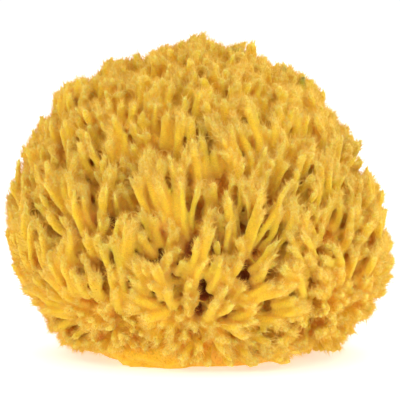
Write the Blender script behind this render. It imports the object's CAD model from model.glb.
import math
import random

import bmesh
import bpy
from bpy.props import (
    FloatProperty,
    FloatVectorProperty,
    IntProperty,
    PointerProperty,
)
from bpy.types import Operator, Panel, PropertyGroup
from mathutils import Matrix, Vector, noise


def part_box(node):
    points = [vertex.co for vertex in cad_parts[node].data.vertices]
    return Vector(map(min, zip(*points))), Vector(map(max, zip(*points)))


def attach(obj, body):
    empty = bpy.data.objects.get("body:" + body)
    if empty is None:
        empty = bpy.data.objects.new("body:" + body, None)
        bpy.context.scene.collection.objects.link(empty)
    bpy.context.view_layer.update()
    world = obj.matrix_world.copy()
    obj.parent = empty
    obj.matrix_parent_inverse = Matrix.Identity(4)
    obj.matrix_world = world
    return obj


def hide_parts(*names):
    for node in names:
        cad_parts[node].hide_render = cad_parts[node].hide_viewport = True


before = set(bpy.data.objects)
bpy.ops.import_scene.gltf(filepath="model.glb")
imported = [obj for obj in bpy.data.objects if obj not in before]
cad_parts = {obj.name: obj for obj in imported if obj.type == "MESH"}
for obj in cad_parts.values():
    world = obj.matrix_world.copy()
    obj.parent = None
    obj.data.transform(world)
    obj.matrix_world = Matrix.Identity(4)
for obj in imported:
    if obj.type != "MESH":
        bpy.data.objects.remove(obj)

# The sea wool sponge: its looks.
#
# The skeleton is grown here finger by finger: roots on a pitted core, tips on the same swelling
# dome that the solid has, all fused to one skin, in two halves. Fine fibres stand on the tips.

bl_info = {
    "name": "Sea wool sponge",
    "version": (1, 0, 0),
    "blender": (4, 5, 0),
    "location": "3D View > Sidebar > Sponge",
    "description": "Grows a natural sea wool sponge with its fibres, and sets its stage",
    "category": "Add Mesh",
}

BODY = "root"
NODE = "sponge"

# The solid's box, which the tips of the fingers reach
LOW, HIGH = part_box(NODE)
WIDTH, DEPTH, HEIGHT = HIGH - LOW
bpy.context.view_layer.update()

# The solid's dome: the level where it is widest, how far below it the dome would close, and the
# swells that make it uneven
WAIST_HEIGHT = 0.050
UNDER_REACH = 0.072
SWELL = 0.035
SWELL_SIZE = 0.75
BULGES = (
    (Vector((0.95, -0.20, -0.15)), 0.05, 0.20),
    (Vector((-0.85, -0.10, 0.42)), 0.07, 0.16),
    (Vector((0.72, -0.10, 0.66)), -0.09, 0.14),
    (Vector((0.10, 0.90, 0.30)), 0.04, 0.30),
    (Vector((-0.38, -0.10, 0.91)), -0.09, 0.04),
    (Vector((0.62, -0.20, -0.75)), -0.09, 0.10),
)

# The point that fingers radiate from, and how it sinks for fingers higher up, which sweep upwards
GROWTH_HEIGHT = 0.030
SWEEP_START = 0.022
SWEEP = 1.6

# Near the cut rim fingers lie flatter: none points down by more than its height over this one
FLATTEN = 0.030

# Between these heights the lower part, with its stubby fingers, gives way to the upward sweep.
# In the lower part the walls are shallower, the pores go deeper and the fingers are thicker, each
# by a share.
LOWER_FULL = 0.038
LOWER_GONE = 0.076
LOWER_SHALLOWER = 0.48
LOWER_DEEPER = 1.6
LOWER_THICKER = 0.22

# Lower fingers spread from rosettes: the ways these face and their distance from the middle
ROSETTES = (-1.65, -0.35, 0.80, 1.95, 3.10, 4.00)
ROSETTE_RADIUS = 0.050

# Neighbouring fingers lean the same way, over this distance, and each a little its own way
LEAN = 0.58
LEAN_SIZE = 0.017
OWN_LEAN = 0.22

# The places for fingers are spread evenly over the dome, each moved by this share of its radius
PLACE_JITTER = 0.012

# Pores are longer than wide, from the bottom up, and go this much deeper than the walls' ends, as
# a share of that depth
PORE_STRETCH = 0.62
PORE_DEPTH = 0.70

# Off the middle of a wall, as shares of the pores' spacing: where a pore starts, and where it is
# fully deep. A finger stands where it is less deep than a draw between two shares.
PORE_START = 0.08
PORE_FULL = 0.50
WALL_SHARES = (0.10, 0.65)

# Between these heights the sponge turns into a dense crown: its pores are shallower by a share and
# its walls by half of it, more places hold fingers, and the fingers are thicker by a share
CROWN_START = 0.085
CROWN_FULL = 0.118
CROWN_SHALLOWER = 0.70
CROWN_DENSER = 0.30
CROWN_THICKER = 0.18

# Below this height the pores get shallower, and they are closed at the cut rim. There the core
# lies this share of a wall's usual depth below the finger tips, which hang over it.
RIM_FADE = 0.016
RIM_INSET = 1.3

# At the front left the rim is a smooth slab: the way it faces, the cosine of half the angle it
# takes, its height, and the share of the core's depth that it keeps. It ends softly, over a step
# of that cosine and a step of height, and has no fingers where its share is over the last value.
SLAB_FACING = Vector((-0.456, -0.890, 0.0))
SLAB_EDGE = 0.965
SLAB_HEIGHT = 0.0050
SLAB_DEPTH = 0.30
SLAB_SIDE_STEP = 0.03
SLAB_TOP_STEP = 0.004
SLAB_BARE = 0.3

# Bumps of the slab: how far they rise, and over which distance
SLAB_BUMPS = 0.0030
SLAB_BUMP_SIZE = 0.0060

# Open canals that show between the fingers, as seen from the front: how far right of the middle
# and how high above the cut, and the canal's radius
CANALS = (
    (-0.022, 0.034, 0.0062),
    (-0.014, 0.045, 0.0050),
    (-0.020, 0.022, 0.0040),
    (0.002, 0.030, 0.0052),
    (-0.017, 0.064, 0.0035),
    (-0.072, 0.043, 0.0040),
    (-0.041, 0.053, 0.0040),
    (-0.049, 0.066, 0.0040),
    (0.013, 0.039, 0.0042),
    (0.011, 0.058, 0.0040),
)

# How much deeper than the core canals go, and between which shares of their radius they end. The
# radius differs by a share from place to place, this many times finer than the patches of colour.
CANAL_DEPTH = 0.010
CANAL_INNER = 0.6
CANAL_OUTER = 1.3
CANAL_RAGGED = 0.45
CANAL_RAGGED_FINER = 3

# A finger is left out where its end stands deeper in a canal's mouth than a draw between these
# two, or where half the depth of its middle, at this share of its length, does
CANAL_CLEARING = (0.3, 1.0)
MIDDLE_SHARE = 0.6

# How much darker and redder a canal's wall is than a gap's at the same depth
CANAL_SHADE = 1.3

# No finger ends below this height
LOWEST_TIP = 0.0022

# The shortest and the longest way from the core to the end of a finger, and how many times the
# way to the dome is halved to find it
SHORTEST = 0.003
LONGEST = 0.026
HALVINGS = 7

# Whole tufts end higher or lower than the dome by this much, over this distance; more often
# lower. Small clumps of fingers differ as well.
TUFT_SPREAD = 0.0080
TUFT_SIZE = 0.020
HIGHEST_TUFT = 0.12
CLUMP_SPREAD = 0.0068
CLUMP_SIZE = 0.0085

# Fingers are rooted this far inside the core
ROOTED = 0.0035

# Fingers wander this far from an even bend, over this distance
WOBBLE = 0.0026
WOBBLE_SIZE = 0.0080

# Fingers bend at this share of their length, and their widths differ by a share between these two
BEND_SHARE = 0.55
WIDTH_SHARES = (0.78, 1.22)

# A stem is as wide as its middle from the first share of its length on. From the second share on
# it is rounded off, down to the square root of the third. It ends up to this much early.
ROOT_END = 0.5
ROUND_START = 0.8
ROUND_LEAST = 0.20
STEM_SHORTER = 0.0015

# The strands of a finger's end: how many, the step of the stem that they leave it at, how far they
# stand off as shares of the strand spread, how far past the stem they end, how much they bulge,
# and their widths at the start and further on as shares of the stem's. They stand off sideways,
# or to the right where the finger is steeper than the last value.
STRAND_COUNTS = (2, 3, 3)
STRAND_STARTS = (2, 3, 4)
STRAND_OFFSETS = (0.7, 1.0, 1.3, 2.4)
STRAND_ENDS = (-0.0030, 0.0010)
STRAND_BULGE = 0.4
STRAND_ROOT_WIDTH = 0.75
STRAND_WIDTH = 0.62
UPRIGHT = 0.9

# How finely the core, the stems and the strands are divided, and the sides of a stem
CORE_SUBDIVISIONS = 6
STEM_STEPS = 7
STRAND_STEPS = 5
STEM_SIDES = 6

# Blocks that part the skin reach this far, and its edges sharper than this are drawn sharp
BLOCK_SIZE = 0.2
SHARP_ANGLE = math.radians(75)

# Below the dome, the depth at which a surface counts as the bottom of a gap
REACH_DEPTH = 0.022

# Reach is 1 on the dome and 0 at that depth. A canal's colour turns into a gap's between the first
# two, and a gap's into a finger's between the others.
CANAL_REACH = (-0.50, 0.05)
FLESH_REACH = (0.10, 0.75)

# Shares of a finger's length between which its end turns pale and frayed
END_SHARES = (0.68, 1.0)

# Patches of slightly different colour, and the wool of the surface, whose pale parts begin and are
# full at two values of its noise. Real spongin fibres are 0.03 mm thick, too fine to show, so the
# wool is drawn as coarse as it needs to be seen.
PATCH_SIZE = 0.014
PATCH_CONTRAST = 0.36
PATCH_DARKEST = 0.82
WOOL_SIZE = 0.0011
WOOL_HEIGHT = 0.0006
WOOL_EDGES = (0.25, 0.65)

# The share of light that spreads inside: much in the thick fingers, none in a single fibre
FLESH_SCATTER = 0.85
FIBRE_SCATTER = 0.0

# Spongin is matt with hardly any gloss, has a faint golden bloom of fine fibres, and the light
# inside spreads some millimetres, red the furthest
SPONGIN = {
    "Roughness": 0.9,
    "Specular IOR Level": 0.10,
    "Sheen Weight": 0.20,
    "Sheen Roughness": 0.5,
    "Sheen Tint": (1.0, 0.80, 0.45, 1),
    "Subsurface Radius": (1.0, 0.6, 0.2),
    "Subsurface Scale": 0.0080,
}

# Threads of fibres run along each finger: their width, and the share of their length taken out.
# The colour of threads and patches is the darkest share, up to the contrast brighter.
THREAD_WIDTH = 0.0009
THREAD_STRETCH = 0.85
THREAD_CONTRAST = 0.70
THREAD_DARKEST = 0.65

# How far fibres stray from the finger's way, and the smallest and largest fibres and hairs as
# shares of the usual ones
FIBRE_STRAY = 0.7
FIBRE_RANGE = (0.30, 1.50)
HAIR_RANGE = (0.50, 1.30)

# A curled hair: the height of its bend, how far aside and how high it ends, as shares of its
# length, its width at the end as a share of the foot's, and the steps along it
HAIR_BEND = 0.6
HAIR_ASIDE = 0.65
HAIR_UP = 0.45
HAIR_END_WIDTH = 0.15
HAIR_STEPS = 5

# Share of the fibres of a finger's end that its lower part has
NAP = 0.07

# The floor lies this far under the cut
FLOOR_GAP = 0.0002

# The soft boxes: name, place and width
LIGHTS = (
    ("key", (0.2, -1.4, 0.9), 1.2),
    ("fill", (1.2, -1.0, 0.5), 1.4),
    ("back", (0.2, 1.1, 1.4), 1.2),
)

# Light from all round, a little over full white, so that the backdrop comes out white
WORLD_LIGHT = 1.04

# The skin is parted in halves, and the fibres in quarters: their names and sides
HALVES = (("front", -1), ("back", 1))
QUARTERS = (
    ("front_left", -1, -1),
    ("front_right", 1, -1),
    ("back_left", -1, 1),
    ("back_right", 1, 1),
)


def linear(code):
    """Turns an sRGB hex colour into the linear values that Blender's sockets take."""
    values = [int(code[i : i + 2], 16) / 255 for i in (1, 3, 5)]
    return tuple(v / 12.92 if v <= 0.04045 else ((v + 0.055) / 1.055) ** 2.4 for v in values)


def metres(name, description, default):
    """A property for a length."""
    return FloatProperty(name=name, description=description, default=default, unit="LENGTH")


def colour(name, description, code):
    """A property for a colour, with an sRGB hex colour as its default."""
    return FloatVectorProperty(
        name=name, description=description, default=linear(code), subtype="COLOR"
    )


class SkeletonSizes(PropertyGroup):
    """The sizes that the fingers and the core between them are grown from."""

    fingers: IntProperty(
        name="Places",
        description="Places on the whole sphere where a finger may stand, if it isn't a pore",
        default=3500,
        min=200,
    )
    finger_width: metres("Finger width", "Usual width of a finger's stem halfway up", 0.0032)
    root_width: metres("Root width", "Usual width of a finger where it leaves the core", 0.0050)
    strand_spread: metres(
        "Strand spread", "How far the strands of a finger's end stand off its middle", 0.0011
    )
    ridge_depth: metres(
        "Wall depth", "How far below the tips the walls between pores end, in the upper half", 0.0125
    )
    pore_size: metres("Pore size", "Distance between the pores of the core", 0.0100)
    length_spread: metres(
        "Length spread", "How much single fingers differ in where they end", 0.0050
    )
    voxel: metres("Fusing grain", "Grid on which the fingers are fused to one skin", 0.00078)
    share_kept: FloatProperty(
        name="Faces kept",
        description="Share of the fused skin's faces that is kept",
        default=0.29,
        min=0.05,
        max=1.0,
        subtype="FACTOR",
    )
    lump_size: metres("Lump size", "Distance between the small woolly lumps of the skin", 0.0024)
    lump_height: metres("Lump height", "Height of the small woolly lumps of the skin", 0.0008)
    seed: IntProperty(name="Seed", description="Seed of every random draw", default=11)


class FibreSizes(PropertyGroup):
    """The sizes of the fine fibres that stand on the skeleton."""

    length: metres("Fibre length", "Usual length of a fibre that stands on a finger's tip", 0.0024)
    width: metres("Fibre width", "Width of a fibre at its foot", 0.00022)
    density: FloatProperty(
        name="Fibres per square metre",
        description="Fibres on each square metre of the finger tips",
        default=2200000.0,
    )
    hair_length: metres(
        "Hair length", "Usual length of the few long hairs that curl out of the sponge", 0.0060
    )
    hair_width: metres("Hair width", "Width of a long hair at its foot", 0.00036)
    hair_density: FloatProperty(
        name="Hairs per square metre",
        description="Long hairs on each square metre of the finger tips",
        default=22000.0,
    )
    seed: IntProperty(name="Seed", description="Seed of the fibres' places", default=5)


class SpongeColours(PropertyGroup):
    """The colours of the sponge, from the bottom of a canal to the end of a tip."""

    canal: colour("Canals", "Bottom of the deepest gaps", "#B4622E")
    gap: colour("Gaps", "Foot of the fingers", "#FCBA44")
    flesh: colour("Fingers", "Sides of the fingers", "#F1BC35")
    tip: colour("Tips", "Worn, paler ends of the fingers", "#F9D66D")


class StageSizes(PropertyGroup):
    """The floor, the lights and the camera."""

    floor: metres("Floor width", "Width of the floor", 6.0)
    distance: metres("Camera distance", "Distance of the camera from the sponge", 1.5)
    view_width: metres(
        "View width", "Width that the camera sees at the middle of the sponge", 0.1745
    )
    aim_height: metres("Aim height", "Height above the floor that the camera looks at", 0.0665)
    elevation: FloatProperty(
        name="Camera elevation",
        description="Angle of the camera above the horizon",
        default=math.radians(6),
        subtype="ANGLE",
    )
    floor_glow: FloatProperty(
        name="Floor glow",
        description="Light that comes up through the opal table, which keeps shadows faint",
        default=0.45,
    )
    key_power: FloatProperty(
        name="Key light", description="Power of the key light in watts", default=3.2
    )
    fill_power: FloatProperty(
        name="Fill light", description="Power of the fill light in watts", default=2.6
    )
    back_power: FloatProperty(
        name="Back light", description="Power of the back light in watts", default=1.5
    )


class SpongeSettings(PropertyGroup):
    """Everything that the panel shows."""

    skeleton: PointerProperty(type=SkeletonSizes)
    fibre: PointerProperty(type=FibreSizes)
    colours: PointerProperty(type=SpongeColours)
    stage: PointerProperty(type=StageSizes)


def feed(tree, node, inputs):
    """Links or sets a node's inputs, by name or number. A node stands for its first output."""
    for key, value in inputs.items():
        socket = node.inputs[key]
        if isinstance(value, bpy.types.Node):
            value = value.outputs[0]
        if isinstance(value, bpy.types.NodeSocket):
            tree.links.new(value, socket)
        else:
            socket.default_value = value


def add_node(tree, kind, inputs=None, **settings):
    """Adds a node with its settings, and its inputs linked or set."""
    node = tree.nodes.new(kind)
    for name, value in settings.items():
        setattr(node, name, value)
    feed(tree, node, inputs or {})
    return node


def add_object(name, mesh):
    """Puts a mesh in the scene, at the origin."""
    obj = bpy.data.objects.new(name, mesh)
    bpy.context.scene.collection.objects.link(obj)
    return obj


def remove_object(obj):
    """Takes a helper out of the scene again, with its mesh."""
    mesh = obj.data
    bpy.data.objects.remove(obj)
    bpy.data.meshes.remove(mesh)


def evaluated_mesh(obj, name):
    """The mesh that an object has after its modifiers, as a mesh of its own."""
    depsgraph = bpy.context.evaluated_depsgraph_get()
    mesh = bpy.data.meshes.new_from_object(obj.evaluated_get(depsgraph), depsgraph=depsgraph)
    mesh.name = name
    return mesh


def swell_of(direction):
    """The share by which the body is fuller than an even dome in this direction."""
    swell = 1 + SWELL * noise.noise(direction / SWELL_SIZE)
    for facing, rise, breadth in BULGES:
        apart = 1 - direction.dot(facing.normalized())
        swell += rise * math.exp(-apart / breadth)
    return swell


def envelope(direction):
    """The point on the outer dome, where the finger tips end, for a direction."""
    swell = swell_of(direction)
    reach = HEIGHT - WAIST_HEIGHT if direction.z > 0 else UNDER_REACH
    return Vector(
        (
            WIDTH / 2 * direction.x * swell,
            DEPTH / 2 * direction.y * swell,
            WAIST_HEIGHT + reach * direction.z * swell,
        )
    )


def smooth_step(low, high, value):
    """0 up to the low value, rising evenly to 1 at the high one."""
    share = min(1.0, max(0.0, (value - low) / (high - low)))
    return share * share * (3 - 2 * share)


def dome_share(point):
    """How far out a point lies: 0 in the middle of the waist, and 1 on the dome."""
    away = point - Vector((0, 0, WAIST_HEIGHT))
    reach = HEIGHT - WAIST_HEIGHT if away.z > 0 else UNDER_REACH
    away = Vector((2 * away.x / WIDTH, 2 * away.y / DEPTH, away.z / reach))
    return away.length / swell_of(away.normalized())


def way_out(start, along):
    """The distance from a point inside to the dome, in one direction."""
    near, far = 0.0, LONGEST
    for _ in range(HALVINGS):
        middle = (near + far) / 2
        if dome_share(start + along * middle) < 1:
            near = middle
        else:
            far = middle
    return near


def lower_share(point):
    """1 in the lower part, falling to 0 where fingers sweep upwards."""
    return 1 - smooth_step(LOWER_FULL, LOWER_GONE, point.z)


def growth_direction(point):
    """Fingers low down spread from rosettes, and those higher up sweep upwards."""
    away = Vector((point.x, point.y, 0)).normalized()
    facing = max((Vector((math.cos(turn), math.sin(turn), 0)) for turn in ROSETTES), key=away.dot)
    seat = facing * ROSETTE_RADIUS * lower_share(point)
    seat.z = GROWTH_HEIGHT - SWEEP * max(0.0, point.z - SWEEP_START)
    along = (point - seat).normalized()
    along.z = max(along.z, -max(0.0, point.z) / FLATTEN)
    return along.normalized()


def leaning(along, point, dice):
    """A finger's own way: as its neighbours lean, and a little off that."""
    shared = noise.noise_vector(point / LEAN_SIZE) * LEAN
    own = Vector([dice.uniform(-1, 1) for _ in range(3)]) * OWN_LEAN
    return (along + shared + own).normalized()


def outward(point):
    """The way straight out of the body, from the middle of its waist."""
    return (point - Vector((0, 0, WAIST_HEIGHT))).normalized()


def rim_fade(point):
    """1 where pores are full, falling to 0 at the cut rim."""
    return smooth_step(0.0, RIM_FADE, point.z)


def slab_share(point):
    """1 on the smooth slab of the rim, and 0 away from it."""
    away = Vector((point.x, point.y, 0)).normalized()
    beside = smooth_step(SLAB_EDGE - SLAB_SIDE_STEP, SLAB_EDGE, away.dot(SLAB_FACING))
    above = smooth_step(SLAB_HEIGHT, SLAB_HEIGHT + SLAB_TOP_STEP, point.z)
    return beside * (1 - above)


def crown_share(point):
    """0 on the sides, rising to 1 on the dense crown."""
    return smooth_step(CROWN_START, CROWN_FULL, point.z)


def pore_share(outer, pore_size):
    """0 on the wall between two pores, rising to 1 inside a pore, for a point on the dome."""
    place = Vector((outer.x, outer.y, outer.z * PORE_STRETCH)) / pore_size
    distances = noise.voronoi(place)[0]
    return smooth_step(PORE_START, PORE_FULL, distances[1] - distances[0])


def wall_depth(outer, sizes):
    """How far below the dome the walls between pores end: most halfway up, least on the slab."""
    depth = sizes.ridge_depth * (1 - LOWER_SHALLOWER * lower_share(outer))
    depth *= 1 - CROWN_SHALLOWER / 2 * crown_share(outer)
    depth *= RIM_INSET + (1 - RIM_INSET) * rim_fade(outer)
    bumps = SLAB_BUMPS * noise.noise(outer / SLAB_BUMP_SIZE)
    return depth * (1 - (1 - SLAB_DEPTH) * slab_share(outer)) + bumps * slab_share(outer)


def even_directions(count, jitter, dice):
    """Directions spread evenly over the unit sphere, each moved a little."""
    turn = math.pi * (3 - math.sqrt(5))
    made = []
    for i in range(count):
        z = 1 - (2 * i + 1) / count
        ring = math.sqrt(1 - z * z)
        direction = Vector((ring * math.cos(turn * i), ring * math.sin(turn * i), z))
        shift = Vector([dice.gauss(0, jitter) for _ in range(3)])
        made.append((direction + shift).normalized())
    return made


def canal_mouths():
    """Where each canal opens on the front of the dome, and its radius."""
    mouths = []
    for right, height, radius in CANALS:
        reach = HEIGHT - WAIST_HEIGHT if height > WAIST_HEIGHT else UNDER_REACH
        facing = Vector((2 * right / WIDTH, 0, (height - WAIST_HEIGHT) / reach))
        facing.y = -math.sqrt(1 - facing.length_squared)
        mouths.append((envelope(facing), radius))
    return mouths


def near_canal(point, mouths):
    """How deep inside an open canal's mouth a point lies, from 0 to 1."""
    ragged = 1 + CANAL_RAGGED * noise.noise(point / PATCH_SIZE * CANAL_RAGGED_FINER)
    return max(
        1 - smooth_step(CANAL_INNER, CANAL_OUTER, (point - mouth).length / wide * ragged)
        for mouth, wide in mouths
    )


def core_mesh(sizes):
    """The core that fingers are rooted on: walls around pores, and canals that go deeper."""
    mouths = canal_mouths()
    bm = bmesh.new()
    bmesh.ops.create_icosphere(bm, subdivisions=CORE_SUBDIVISIONS, radius=1)
    for vert in bm.verts:
        outer = envelope(vert.co.normalized())
        depth = wall_depth(outer, sizes)
        pore = pore_share(outer, sizes.pore_size) * rim_fade(outer)
        deeper = 1 - CROWN_SHALLOWER * crown_share(outer) + LOWER_DEEPER * lower_share(outer)
        depth *= 1 + PORE_DEPTH * pore * deeper
        depth += CANAL_DEPTH * near_canal(outer, mouths)
        vert.co = outer - outward(outer) * depth
    mesh = bpy.data.meshes.new("core")
    bm.to_mesh(mesh)
    bm.free()
    return mesh


def stem_radius(along, root, middle):
    """Half the stem's width: wide at the root, even above it, rounded off at the end."""
    radius = middle + (root - middle) * (1 - smooth_step(0.0, ROOT_END, along))
    if along > ROUND_START:
        past = (along - ROUND_START) / (1 - ROUND_START)
        radius *= math.sqrt(max(ROUND_LEAST, 1 - past**2))
    return radius


def finger_paths(sizes, dice):
    """Every stem and strand as a list of (point, radius, share of the length, way), root first."""
    mouths = canal_mouths()
    paths = []
    for direction in even_directions(sizes.fingers, PLACE_JITTER, dice):
        outer = envelope(direction)
        if outer.z < LOWEST_TIP or slab_share(outer) > SLAB_BARE:
            continue
        open_share = pore_share(outer, sizes.pore_size) * rim_fade(outer)
        if open_share > dice.uniform(*WALL_SHARES) + CROWN_DENSER * crown_share(outer):
            continue
        foot = outer - outward(outer) * wall_depth(outer, sizes)
        along = leaning(growth_direction(foot), foot, dice)
        tuft = TUFT_SPREAD * min(HIGHEST_TUFT, noise.noise(foot / TUFT_SIZE))
        clump = CLUMP_SPREAD * noise.noise(foot / CLUMP_SIZE)
        single = -sizes.length_spread * dice.random() ** 2
        tip = foot + along * max(SHORTEST, way_out(foot, along) + tuft + clump + single)
        tip.z = max(tip.z, LOWEST_TIP)
        halfway = foot.lerp(tip, MIDDLE_SHARE)
        blocking = max(near_canal(tip, mouths), near_canal(halfway, mouths) / 2)
        if blocking > dice.uniform(*CANAL_CLEARING):
            continue
        foot -= along * ROOTED
        lift = (outward(foot) + along) / 2
        bend = foot + lift * (tip - foot).length * BEND_SHARE
        paths += finger(foot, bend, tip, sizes, dice)
    return paths


def finger(foot, bend, tip, sizes, dice):
    """One finger: a stem, and strands that leave it on the way and end at different heights."""
    thicker = CROWN_THICKER * crown_share(tip) + LOWER_THICKER * lower_share(tip)
    wide = dice.uniform(*WIDTH_SHARES) * (1 + thicker)
    root, middle = sizes.root_width / 2 * wide, sizes.finger_width / 2 * wide
    along = (tip - bend).normalized()
    top = tip - along * dice.uniform(0.0, STEM_SHORTER)
    stem = bent_path(foot, bend, top, root, middle, 0.0, STEM_STEPS)
    paths = [stem]
    turn = dice.uniform(0, 2 * math.pi)
    count = dice.choice(STRAND_COUNTS)
    across = Vector((0, 0, 1)).cross(along) if abs(along.z) < UPRIGHT else Vector((1, 0, 0))
    strand_root, strand_middle = middle * STRAND_ROOT_WIDTH, middle * STRAND_WIDTH
    for index in range(count):
        turned = Matrix.Rotation(turn + index * 2 * math.pi / count, 3, along)
        aside = turned @ across.normalized()
        aside *= sizes.strand_spread * dice.choice(STRAND_OFFSETS)
        start, _, share, _ = stem[dice.choice(STRAND_STARTS)]
        end = tip + aside + along * dice.uniform(*STRAND_ENDS)
        end.z = max(end.z, LOWEST_TIP)
        out = start.lerp(end, 0.5) + aside * STRAND_BULGE
        paths.append(bent_path(start, out, end, strand_root, strand_middle, share, STRAND_STEPS))
    return paths


def bent_path(foot, bend, tip, root, middle, first, steps):
    """Points along an even bend, from the first share of the finger to its end. Stems wander."""
    path = []
    for step in range(steps + 1):
        along = step / steps
        share = first + (1 - first) * along
        point = foot * (1 - along) ** 2 + bend * 2 * along * (1 - along) + tip * along**2
        wobble = noise.noise_vector(point / WOBBLE_SIZE) * WOBBLE if not first else Vector()
        heading = (bend - foot).lerp(tip - bend, along).normalized()
        radius = stem_radius(along, root, middle)
        path.append((point + wobble * along, radius, share, heading))
    return path


def paths_mesh(paths):
    """The fingers' centre lines, with each point's radius and share of the length."""
    points, edges, radii, shares, ways = [], [], [], [], []
    for path in paths:
        first = len(points)
        for point, radius, share, way in path:
            points.append(point)
            radii.append(radius)
            shares.append(share)
            ways.extend(way)
        edges += [(first + i, first + i + 1) for i in range(len(path) - 1)]
    mesh = bpy.data.meshes.new("finger_lines")
    mesh.from_pydata(points, edges, [])
    mesh.attributes.new("radius", "FLOAT", "POINT").data.foreach_set("value", radii)
    mesh.attributes.new("tip", "FLOAT", "POINT").data.foreach_set("value", shares)
    mesh.attributes.new("way", "FLOAT_VECTOR", "POINT").data.foreach_set("vector", ways)
    return mesh


def new_tree(name, *inputs):
    """A Geometry Nodes tree with one geometry in and out, and named inputs for its sizes."""
    tree = bpy.data.node_groups.new(name, "GeometryNodeTree")
    tree.interface.new_socket("Geometry", in_out="INPUT", socket_type="NodeSocketGeometry")
    tree.interface.new_socket("Geometry", in_out="OUTPUT", socket_type="NodeSocketGeometry")
    for label, kind in inputs:
        tree.interface.new_socket(label, in_out="INPUT", socket_type=kind)
    return tree, tree.nodes.new("NodeGroupInput").outputs


def finish_tree(tree, geometry, material):
    """Ends a tree in Realize Instances and Set Material."""
    real = add_node(tree, "GeometryNodeRealizeInstances", {"Geometry": geometry})
    painted = add_node(tree, "GeometryNodeSetMaterial", {"Geometry": real, "Material": material})
    add_node(tree, "NodeGroupOutput", {0: painted})


def use_tree(obj, tree, values):
    """Puts a tree on an object, with its inputs set by their identifiers."""
    modifier = obj.modifiers.new(tree.name, "NODES")
    modifier.node_group = tree
    for item in tree.interface.items_tree:
        if item.in_out == "INPUT" and item.name in values:
            modifier[item.identifier] = values[item.name]


def finger_tree():
    """Tubes along the fingers' centre lines, as wide as each point says, on the core."""
    tree, given = new_tree(
        "fingers_on_core",
        ("Core", "NodeSocketObject"),
        ("Sides", "NodeSocketInt"),
        ("Material", "NodeSocketMaterial"),
    )
    radius = add_node(
        tree, "GeometryNodeInputNamedAttribute", {"Name": "radius"}, data_type="FLOAT"
    )
    line = add_node(tree, "GeometryNodeMeshToCurve", {"Mesh": given["Geometry"]})
    ring = add_node(
        tree, "GeometryNodeCurvePrimitiveCircle", {"Resolution": given["Sides"], "Radius": 1.0}
    )
    tube = add_node(
        tree,
        "GeometryNodeCurveToMesh",
        {"Curve": line, "Profile Curve": ring, "Scale": radius, "Fill Caps": True},
    )
    core = add_node(tree, "GeometryNodeObjectInfo", {"Object": given["Core"]})
    both = tree.nodes.new("GeometryNodeJoinGeometry")
    tree.links.new(tube.outputs[0], both.inputs[0])
    tree.links.new(core.outputs["Geometry"], both.inputs[0])
    finish_tree(tree, both, given["Material"])
    return tree


def woolly_tree():
    """Small lumps all over the skin, moved along its normals."""
    tree, given = new_tree(
        "woolly_lumps",
        ("Lump size", "NodeSocketFloat"),
        ("Lump height", "NodeSocketFloat"),
        ("Material", "NodeSocketMaterial"),
    )
    scale = add_node(tree, "ShaderNodeMath", {0: 1.0, 1: given["Lump size"]}, operation="DIVIDE")
    lumps = add_node(tree, "ShaderNodeTexNoise", {"Scale": scale, "Detail": 2.0})
    rise = add_node(tree, "ShaderNodeMath", {0: lumps, 1: 0.5}, operation="SUBTRACT")
    height = add_node(
        tree, "ShaderNodeMath", {0: rise, 1: given["Lump height"]}, operation="MULTIPLY"
    )
    normal = tree.nodes.new("GeometryNodeInputNormal")
    shift = add_node(tree, "ShaderNodeVectorMath", {0: normal, "Scale": height}, operation="SCALE")
    moved = add_node(
        tree, "GeometryNodeSetPosition", {"Geometry": given["Geometry"], "Offset": shift}
    )
    finish_tree(tree, moved, given["Material"])
    return tree


def fused_skin(source, sizes, material):
    """The fingers and the core fused to one woolly skin with only as many faces as it needs."""
    fused = add_object("fused", source.data.copy())
    remesh = fused.modifiers.new("fuse", "REMESH")
    remesh.mode = "VOXEL"
    remesh.voxel_size = sizes.voxel
    use_tree(
        fused,
        woolly_tree(),
        {"Lump size": sizes.lump_size, "Lump height": sizes.lump_height, "Material": material},
    )
    thin = fused.modifiers.new("thin_out", "DECIMATE")
    thin.ratio = sizes.share_kept
    mesh = evaluated_mesh(fused, "fused_skin")
    remove_object(fused)
    return mesh


def fit_to_box(mesh):
    """Scales the fingers so that their tips end where the solid's do."""
    points = [0.0] * (3 * len(mesh.vertices))
    mesh.vertices.foreach_get("co", points)
    for axis in range(3):
        values = points[axis::3]
        low, high = (0.0 if axis == 2 else min(values)), max(values)
        size = (HIGH[axis] - LOW[axis]) / (high - low)
        points[axis::3] = [LOW[axis] + (value - low) * size for value in values]
    mesh.vertices.foreach_set("co", points)
    mesh.update()


def half_block(side):
    """A block over the front or the back half of the sponge, from the cut upwards."""
    bm = bmesh.new()
    bmesh.ops.create_cube(bm, size=1)
    bmesh.ops.translate(bm, vec=(0, side / 2, 0.5), verts=bm.verts[:])
    bmesh.ops.scale(bm, vec=(BLOCK_SIZE,) * 3, verts=bm.verts[:])
    mesh = bpy.data.meshes.new("half_block")
    bm.to_mesh(mesh)
    bm.free()
    return add_object("half_block", mesh)


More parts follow.
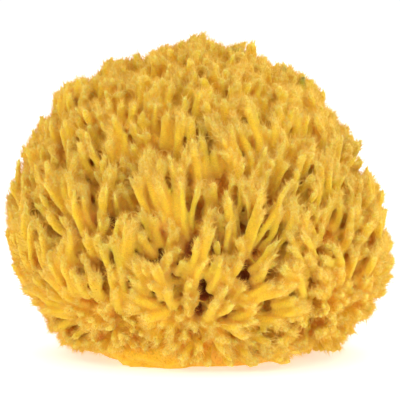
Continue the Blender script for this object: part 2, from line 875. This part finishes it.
def skin_tree():
    """Carries each finger's length share and way over to the skin that was fused from it."""
    tree, given = new_tree(
        "skin_of_fingers",
        ("Fingers", "NodeSocketObject"),
        ("Material", "NodeSocketMaterial"),
    )
    fingers = add_node(tree, "GeometryNodeObjectInfo", {"Object": given["Fingers"]})
    geometry = given["Geometry"]
    for name, kind in (("tip", "FLOAT"), ("way", "FLOAT_VECTOR")):
        value = add_node(tree, "GeometryNodeInputNamedAttribute", {"Name": name}, data_type=kind)
        nearest = add_node(
            tree,
            "GeometryNodeSampleNearestSurface",
            {"Mesh": fingers.outputs["Geometry"], "Value": value},
            data_type=kind,
        )
        geometry = add_node(
            tree,
            "GeometryNodeStoreNamedAttribute",
            {"Geometry": geometry, "Name": name, "Value": nearest},
            data_type=kind,
            domain="POINT",
        )
    smooth = add_node(tree, "GeometryNodeSetShadeSmooth", {"Geometry": geometry})
    finish_tree(tree, smooth, given["Material"])
    return tree


def half_mesh(name, skin, block, source, material, pore_size):
    """One half of the skin, closed where it is parted from the other."""
    piece = add_object(name, skin.copy())
    part = piece.modifiers.new("part_off", "BOOLEAN")
    part.operation = "INTERSECT"
    part.solver = "MANIFOLD"
    part.object = block
    use_tree(piece, skin_tree(), {"Fingers": source, "Material": material})
    mesh = evaluated_mesh(piece, name)
    remove_object(piece)
    mesh.set_sharp_from_angle(angle=SHARP_ANGLE)
    store_reach(mesh, pore_size)
    return mesh


def store_reach(mesh, pore_size):
    """Stores how near to the dome each point lies: 1 on it, 0 at the depth of the roots."""
    mouths = canal_mouths()
    reach = []
    for vert in mesh.vertices:
        below = (1 - dome_share(vert.co)) * WIDTH / 2 / REACH_DEPTH
        outer = vert.co + outward(vert.co) * below * REACH_DEPTH
        pore = pore_share(outer, pore_size) * lower_share(outer)
        reach.append(1 - below * (1 + CANAL_SHADE * max(near_canal(outer, mouths), pore)))
    mesh.attributes.new("reach", "FLOAT", "POINT").data.foreach_set("value", reach)


def finish_piece(obj):
    """Says which body a piece rides on and the solid that it is shown for."""
    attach(obj, BODY)
    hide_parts(NODE)


def spongin_material(name, colours, scatter):
    """Spongin, the soft horn of bath sponges, cleaned and bleached golden: matt and woolly.

    The eye sees pale worn tips, golden sides, and burnt orange where fingers meet the core.
    """
    material = bpy.data.materials.new(name)
    material.use_nodes = True
    tree = material.node_tree
    shader = tree.nodes["Principled BSDF"]
    tip, reach, way = (
        add_node(tree, "ShaderNodeAttribute", attribute_name=name).outputs
        for name in ("tip", "reach", "way")
    )
    place = add_node(tree, "ShaderNodeTexCoord").outputs["Object"]
    patches, wool = (
        add_node(tree, "ShaderNodeTexNoise", {"Vector": place, "Scale": 1 / size, "Detail": 3.0})
        for size in (PATCH_SIZE, WOOL_SIZE)
    )
    along = add_node(
        tree, "ShaderNodeVectorMath", {0: place, 1: way["Vector"]}, operation="DOT_PRODUCT"
    ).outputs["Value"]
    along = add_node(tree, "ShaderNodeMath", {0: along, 1: THREAD_STRETCH}, operation="MULTIPLY")
    back = add_node(
        tree, "ShaderNodeVectorMath", {0: way["Vector"], "Scale": along}, operation="SCALE"
    )
    across = add_node(tree, "ShaderNodeVectorMath", {0: place, 1: back}, operation="SUBTRACT")
    threads = add_node(
        tree, "ShaderNodeTexNoise", {"Vector": across, "Scale": 1 / THREAD_WIDTH, "Detail": 2.0}
    )
    open_gap, outer_part, end_part, woolly = (
        add_node(
            tree,
            "ShaderNodeMapRange",
            {"Value": value, "From Min": low, "From Max": high},
            interpolation_type="SMOOTHSTEP",
        )
        for value, (low, high) in (
            (reach["Fac"], CANAL_REACH),
            (reach["Fac"], FLESH_REACH),
            (tip["Fac"], END_SHARES),
            (wool, WOOL_EDGES),
        )
    )
    pale = add_node(tree, "ShaderNodeMath", {0: end_part, 1: woolly}, operation="MULTIPLY")
    colour_here = (*colours.canal, 1)
    for share, further_out in (
        (open_gap, colours.gap),
        (outer_part, colours.flesh),
        (pale, colours.tip),
    ):
        colour_here = add_node(
            tree,
            "ShaderNodeMix",
            {0: share, 6: colour_here, 7: (*further_out, 1)},
            data_type="RGBA",
        ).outputs[2]
    of_threads, of_patches = (
        add_node(tree, "ShaderNodeMath", {0: value, 1: contrast, 2: least}, operation="MULTIPLY_ADD")
        for value, contrast, least in (
            (threads, THREAD_CONTRAST, THREAD_DARKEST),
            (patches, PATCH_CONTRAST, PATCH_DARKEST),
        )
    )
    shade = add_node(tree, "ShaderNodeMath", {0: of_threads, 1: of_patches}, operation="MULTIPLY")
    shaded = add_node(tree, "ShaderNodeHueSaturation", {"Value": shade, "Color": colour_here})
    relief = add_node(tree, "ShaderNodeMath", {0: threads, 1: wool}, operation="ADD")
    bump = add_node(
        tree, "ShaderNodeBump", {"Height": relief, "Strength": 0.8, "Distance": WOOL_HEIGHT}
    )
    feed(tree, shader, {"Base Color": shaded, "Normal": bump, "Subsurface Weight": scatter})
    feed(tree, shader, SPONGIN)
    return material


def scattered(tree, given, density, clearance, seed):
    """Points on the finger ends of one quarter, clear of the floor, and the normals there."""
    share = add_node(tree, "GeometryNodeInputNamedAttribute", {"Name": "tip"}, data_type="FLOAT")
    end = add_node(
        tree,
        "ShaderNodeMapRange",
        {"Value": share, "From Min": END_SHARES[0], "From Max": END_SHARES[1]},
        interpolation_type="SMOOTHSTEP",
    )
    fray = add_node(tree, "ShaderNodeMath", {0: end, 1: 1 - NAP, 2: NAP}, operation="MULTIPLY_ADD")
    wanted = add_node(tree, "ShaderNodeMath", {0: fray, 1: density}, operation="MULTIPLY")
    spread = add_node(
        tree,
        "GeometryNodeDistributePointsOnFaces",
        {"Mesh": given["Geometry"], "Density": wanted, "Seed": seed},
        distribute_method="RANDOM",
    )
    place = tree.nodes.new("GeometryNodeInputPosition")
    side = add_node(
        tree, "ShaderNodeVectorMath", {0: place, 1: given["Side"]}, operation="MULTIPLY"
    )
    parts = add_node(tree, "ShaderNodeSeparateXYZ", {0: side}).outputs
    least = add_node(tree, "ShaderNodeMath", {0: parts[0], 1: parts[1]}, operation="MINIMUM")
    clear = add_node(tree, "ShaderNodeMath", {0: parts[2], 1: clearance}, operation="SUBTRACT")
    least = add_node(tree, "ShaderNodeMath", {0: least, 1: clear}, operation="MINIMUM")
    outside = add_node(tree, "FunctionNodeCompare", {0: least, 1: 0.0}, operation="LESS_THAN")
    kept = add_node(
        tree,
        "GeometryNodeDeleteGeometry",
        {"Geometry": spread.outputs["Points"], "Selection": outside},
        domain="POINT",
    )
    return kept, spread.outputs["Normal"]


def standing(tree, points, normal, shape, sizes, seed):
    """One shape on each point, along the finger's way and its normal, a little astray."""
    away = add_node(
        tree, "GeometryNodeInputNamedAttribute", {"Name": "way"}, data_type="FLOAT_VECTOR"
    )
    stray = add_node(
        tree,
        "FunctionNodeRandomValue",
        {0: (-FIBRE_STRAY,) * 3, 1: (FIBRE_STRAY,) * 3, "Seed": seed},
        data_type="FLOAT_VECTOR",
    )
    heading = add_node(tree, "ShaderNodeVectorMath", {0: normal, 1: away}, operation="ADD")
    heading = add_node(tree, "ShaderNodeVectorMath", {0: heading, 1: stray}, operation="ADD")
    turned = add_node(tree, "FunctionNodeAlignRotationToVector", {"Vector": heading}, axis="Z")
    size = add_node(
        tree,
        "FunctionNodeRandomValue",
        {2: sizes[0], 3: sizes[1], "Seed": seed},
        data_type="FLOAT",
    ).outputs[1]
    return add_node(
        tree,
        "GeometryNodeInstanceOnPoints",
        {"Points": points, "Instance": shape, "Rotation": turned, "Scale": size},
    )


def curled_hair(tree, length, width):
    """A hair that curls over: a thin three-sided tube along an arc, pointed at its end."""
    up = add_node(tree, "ShaderNodeCombineXYZ", {2: length})
    over = add_node(
        tree, "ShaderNodeVectorMath", {0: up, 1: (0.0, 0.0, HAIR_BEND)}, operation="MULTIPLY"
    )
    aside = add_node(tree, "ShaderNodeCombineXYZ", {0: length, 2: length})
    end = add_node(
        tree,
        "ShaderNodeVectorMath",
        {0: aside, 1: (HAIR_ASIDE, 0.0, HAIR_UP)},
        operation="MULTIPLY",
    )
    arc = add_node(
        tree,
        "GeometryNodeCurveQuadraticBezier",
        {"Resolution": HAIR_STEPS, "Start": (0, 0, 0), "Middle": over, "End": end},
    )
    ring = add_node(tree, "GeometryNodeCurvePrimitiveCircle", {"Resolution": 3, "Radius": width})
    along = tree.nodes.new("GeometryNodeSplineParameter").outputs["Factor"]
    taper = add_node(tree, "ShaderNodeMath", {0: 1.0, 1: along}, operation="SUBTRACT")
    taper = add_node(tree, "ShaderNodeMath", {0: taper, 1: HAIR_END_WIDTH}, operation="MAXIMUM")
    return add_node(
        tree,
        "GeometryNodeCurveToMesh",
        {"Curve": arc, "Profile Curve": ring, "Scale": taper, "Fill Caps": True},
    )


def fibre_tree():
    """Fine fibres on the fingers' ends, closed three-sided spikes, and a few long curled hairs."""
    tree, given = new_tree(
        "fibres_on_fingers",
        ("Length", "NodeSocketFloat"),
        ("Width", "NodeSocketFloat"),
        ("Density", "NodeSocketFloat"),
        ("Hair length", "NodeSocketFloat"),
        ("Hair width", "NodeSocketFloat"),
        ("Hair density", "NodeSocketFloat"),
        ("Clearance", "NodeSocketFloat"),
        ("Hair clearance", "NodeSocketFloat"),
        ("Side", "NodeSocketVector"),
        ("Seed", "NodeSocketInt"),
        ("Material", "NodeSocketMaterial"),
    )
    spike = add_node(
        tree,
        "GeometryNodeMeshCone",
        {
            "Vertices": 3,
            "Side Segments": 1,
            "Radius Top": 0.0,
            "Radius Bottom": given["Width"],
            "Depth": given["Length"],
        },
    )
    points, normal = scattered(tree, given, given["Density"], given["Clearance"], given["Seed"])
    fibres = standing(tree, points, normal, spike, FIBRE_RANGE, given["Seed"])
    hair = curled_hair(tree, given["Hair length"], given["Hair width"])
    other_seed = add_node(tree, "ShaderNodeMath", {0: given["Seed"], 1: 1.0}, operation="ADD")
    points, normal = scattered(
        tree, given, given["Hair density"], given["Hair clearance"], other_seed
    )
    hairs = standing(tree, points, normal, hair, HAIR_RANGE, other_seed)
    both = tree.nodes.new("GeometryNodeJoinGeometry")
    tree.links.new(fibres.outputs[0], both.inputs[0])
    tree.links.new(hairs.outputs[0], both.inputs[0])
    finish_tree(tree, both, given["Material"])
    return tree


class SEASPONGE_OT_skeleton(Operator):
    """Grows the fingers on the pitted core, fuses them and parts the skin in two halves"""

    bl_idname = "sea_sponge.grow_skeleton"
    bl_label = "Grow skeleton"

    def execute(self, context):
        settings = context.scene.sea_sponge
        sizes = settings.skeleton
        material = spongin_material("bleached_spongin", settings.colours, FLESH_SCATTER)
        dice = random.Random(sizes.seed)
        noise.seed_set(sizes.seed)
        core = add_object("core", core_mesh(sizes))
        lines = add_object("finger_lines", paths_mesh(finger_paths(sizes, dice)))
        use_tree(lines, finger_tree(), {"Core": core, "Sides": STEM_SIDES, "Material": material})
        source = add_object("fingers_on_core", evaluated_mesh(lines, "fingers_on_core"))
        fit_to_box(source.data)
        skin = fused_skin(source, sizes, material)
        for name, side in HALVES:
            block = half_block(side)
            mesh = half_mesh("skeleton_" + name, skin, block, source, material, sizes.pore_size)
            remove_object(block)
            if not mesh.polygons:
                raise RuntimeError("the half " + name + " came out empty")
            finish_piece(add_object("skeleton_" + name, mesh))
        for helper in (core, lines, source):
            remove_object(helper)
        bpy.data.meshes.remove(skin)
        return {"FINISHED"}


class SEASPONGE_OT_fibres(Operator):
    """Stands fine fibres on the ends of the fingers of each quarter"""

    bl_idname = "sea_sponge.grow_fibres"
    bl_label = "Grow fibres"

    def execute(self, context):
        settings = context.scene.sea_sponge
        sizes = settings.fibre
        material = spongin_material("spongin_fibre_ends", settings.colours, FIBRE_SCATTER)
        for name, side_x, side_y in QUARTERS:
            ground = bpy.data.objects["skeleton_" + name.split("_")[0]]
            grower = add_object("fibres", ground.data.copy())
            use_tree(
                grower,
                fibre_tree(),
                {
                    "Length": sizes.length,
                    "Width": sizes.width / 2,
                    "Density": sizes.density,
                    "Hair length": sizes.hair_length,
                    "Hair width": sizes.hair_width / 2,
                    "Hair density": sizes.hair_density,
                    "Clearance": sizes.length * FIBRE_RANGE[1],
                    "Hair clearance": sizes.hair_length * HAIR_RANGE[1],
                    "Side": (side_x, side_y, 1.0),
                    "Seed": sizes.seed,
                    "Material": material,
                },
            )
            mesh = evaluated_mesh(grower, "fibres_" + name)
            remove_object(grower)
            store_reach(mesh, settings.skeleton.pore_size)
            finish_piece(add_object("fibres_" + name, mesh))
        return {"FINISHED"}


class SEASPONGE_OT_stage(Operator):
    """Lays a pale floor, hangs soft studio lights and sets the camera"""

    bl_idname = "sea_sponge.set_stage"
    bl_label = "Set stage"

    def execute(self, context):
        sizes = context.scene.sea_sponge.stage
        add_floor(sizes)
        for name, place, width in LIGHTS:
            add_light(name + "_light", place, width, getattr(sizes, name + "_power"))
        set_world()
        set_camera(sizes)
        return {"FINISHED"}


def add_floor(sizes):
    """Opal acrylic of a light table, cast and satin: the eye sees white, with faint shadows."""
    bm = bmesh.new()
    bmesh.ops.create_grid(bm, x_segments=1, y_segments=1, size=sizes.floor / 2)
    bmesh.ops.translate(bm, vec=(0, 0, -FLOOR_GAP), verts=bm.verts[:])
    mesh = bpy.data.meshes.new("floor")
    bm.to_mesh(mesh)
    bm.free()
    material = bpy.data.materials.new("opal_acrylic_light_table")
    material.use_nodes = True
    looks = {
        "Base Color": (*linear("#F6F6F5"), 1),
        "Roughness": 0.6,
        "Emission Color": (*linear("#FFFFFF"), 1),
        "Emission Strength": sizes.floor_glow,
    }
    feed(material.node_tree, material.node_tree.nodes["Principled BSDF"], looks)
    mesh.materials.append(material)
    return add_object("floor", mesh)


def add_light(name, place, width, power):
    """A square soft box that faces the sponge."""
    data = bpy.data.lights.new(name, "AREA")
    data.size = width
    data.energy = power
    light = bpy.data.objects.new(name, data)
    light.location = place
    towards = Vector((0, 0, HEIGHT / 2)) - light.location
    light.rotation_euler = towards.to_track_quat("-Z", "Y").to_euler()
    bpy.context.scene.collection.objects.link(light)


def set_world():
    """Even white light from all round, a little over full white."""
    world = bpy.data.worlds.new("studio")
    world.use_nodes = True
    light = {"Color": (1, 1, 1, 1), "Strength": WORLD_LIGHT}
    feed(world.node_tree, world.node_tree.nodes["Background"], light)
    scene = bpy.context.scene
    scene.world = world
    scene.view_settings.view_transform = "Standard"


def set_camera(sizes):
    """The camera in front of the sponge and a little above it, as in the photograph."""
    data = bpy.data.cameras.new("camera")
    camera = bpy.data.objects.new("camera", data)
    target = Vector((0, 0, sizes.aim_height))
    back = Vector((0, -math.cos(sizes.elevation), math.sin(sizes.elevation)))
    camera.location = target + back * sizes.distance
    camera.rotation_euler = (-back).to_track_quat("-Z", "Y").to_euler()
    data.lens = data.sensor_width * sizes.distance / sizes.view_width
    bpy.context.scene.collection.objects.link(camera)
    bpy.context.scene.camera = camera


class SEASPONGE_PT_panel(Panel):
    """The sponge's sizes, colours and steps"""

    bl_idname = "SEASPONGE_PT_panel"
    bl_label = "Sea wool sponge"
    bl_space_type = "VIEW_3D"
    bl_region_type = "UI"
    bl_category = "Sponge"

    def draw(self, context):
        settings = context.scene.sea_sponge
        for part in (settings.skeleton, settings.fibre, settings.colours, settings.stage):
            box = self.layout.box()
            for name in part.bl_rna.properties.keys():
                if name not in ("rna_type", "name"):
                    box.prop(part, name)
        for operator in OPERATORS:
            self.layout.operator(operator.bl_idname)


OPERATORS = (SEASPONGE_OT_skeleton, SEASPONGE_OT_fibres, SEASPONGE_OT_stage)

CLASSES = (
    SkeletonSizes,
    FibreSizes,
    SpongeColours,
    StageSizes,
    SpongeSettings,
    *OPERATORS,
    SEASPONGE_PT_panel,
)


def register():
    for item in CLASSES:
        bpy.utils.register_class(item)
    bpy.types.Scene.sea_sponge = PointerProperty(type=SpongeSettings)


def unregister():
    del bpy.types.Scene.sea_sponge
    for item in reversed(CLASSES):
        bpy.utils.unregister_class(item)


def main():
    register()
    bpy.ops.sea_sponge.grow_skeleton()
    bpy.ops.sea_sponge.grow_fibres()
    bpy.ops.sea_sponge.set_stage()


if __name__ == "__main__":
    main()
